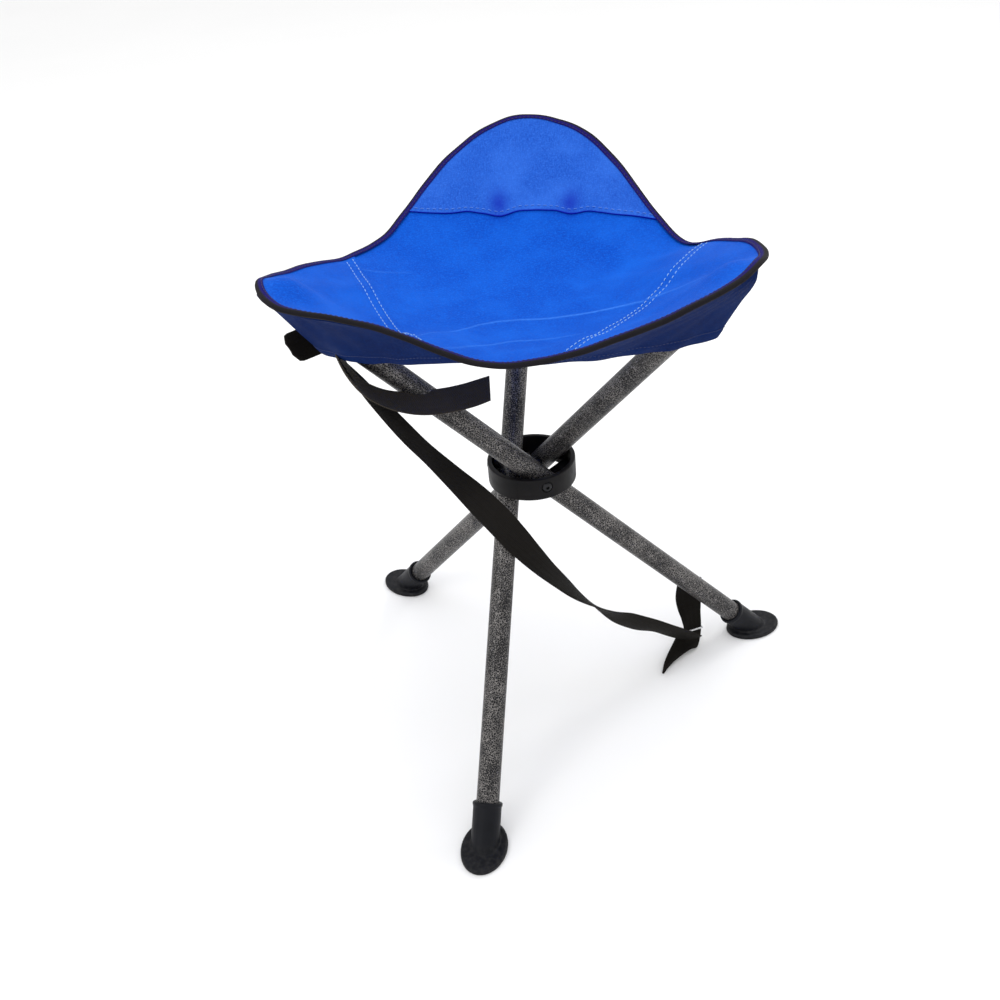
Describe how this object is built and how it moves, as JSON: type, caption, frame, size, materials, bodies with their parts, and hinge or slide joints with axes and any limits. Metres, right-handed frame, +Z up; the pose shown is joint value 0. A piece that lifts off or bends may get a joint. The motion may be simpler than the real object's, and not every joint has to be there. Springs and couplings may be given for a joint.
{
  "type": "folding camp stool",
  "caption": "Folding tripod camp stool: crossed painted tubes pivot in a hub ring and stretch a blue triangular fabric seat with a carry strap.",
  "frame": {"origin": "middle of the open stool's footprint box, on the floor", "axes": "+Z up; +Y towards the seat's rear corner; -Y towards the front foot and the front edge of the seat"},
  "size_m": [0.4222, 0.4462, 0.4818],
  "materials": {
    "tube_paint": "hammertone enamel, semi-gloss",
    "black_plastic": "moulded, fine satin",
    "foot_rubber": "moulded, satin",
    "black_steel": "black zinc plated",
    "bright_steel": "nickel plated",
    "seat_fabric": "plain-weave polyester, royal blue",
    "pocket_fabric": "plain-weave polyester, navy side of the cloth",
    "edge_tape": "woven polyester tape",
    "webbing": "flat woven polypropylene webbing"
  },
  "bodies": {
    "hub": {"hub_ring": "black_plastic", "seat_panel": "seat_fabric", "edge_binding": "edge_tape", "patch_rear_corner": "seat_fabric", "patch_left_corner": "seat_fabric", "patch_right_corner": "seat_fabric", "pivot_bolt_right": "black_steel", "lock_nut_right": "black_steel", "spacer_right": "black_plastic", "pivot_bolt_left": "black_steel", "lock_nut_left": "black_steel", "spacer_left": "black_plastic", "pivot_bolt_front": "black_steel", "lock_nut_front": "black_steel", "spacer_front": "black_plastic"},
    "leg_right": {"tube_right": "tube_paint", "end_plug_right": "black_plastic", "foot_right": "foot_rubber", "pocket_left_corner": "pocket_fabric", "carry_strap": "webbing", "leg_webbing": "webbing", "strap_slider": "bright_steel", "strap_rivet": "bright_steel", "closing_strap": "webbing", "closing_tab": "webbing"},
    "leg_left": {"tube_left": "tube_paint", "end_plug_left": "black_plastic", "foot_left": "foot_rubber", "pocket_right_corner": "pocket_fabric"},
    "leg_front": {"tube_front": "tube_paint", "end_plug_front": "black_plastic", "foot_front": "foot_rubber", "pocket_rear_corner": "pocket_fabric"}
  },
  "joints": [
    {"name": "fold_right", "type": "hinge", "parent": "hub", "child": "leg_right", "pos_m": [-0.00657, -0.00511, 0.24], "axis": [-0.4147, 0.91, 0], "range_deg": [0, 35], "deforming": ["seat_panel", "edge_binding", "patch_rear_corner", "patch_left_corner", "patch_right_corner", "pocket_rear_corner", "pocket_left_corner", "pocket_right_corner", "carry_strap", "leg_webbing", "closing_strap", "closing_tab"]},
    {"name": "fold_left", "type": "hinge", "parent": "hub", "child": "leg_left", "pos_m": [-0.00346, 0.02713, 0.24], "axis": [-0.5807, -0.8141, 0], "range_deg": [0, 35]},
    {"name": "fold_front", "type": "hinge", "parent": "hub", "child": "leg_front", "pos_m": [-0.03294, 0.0137, 0.24], "axis": [0.9954, -0.0958, 0], "range_deg": [0, 35]}
  ],
  "couplings": [
    {"joint": "fold_left", "follows": "fold_right", "ratio": 1},
    {"joint": "fold_front", "follows": "fold_right", "ratio": 1}
  ]
}
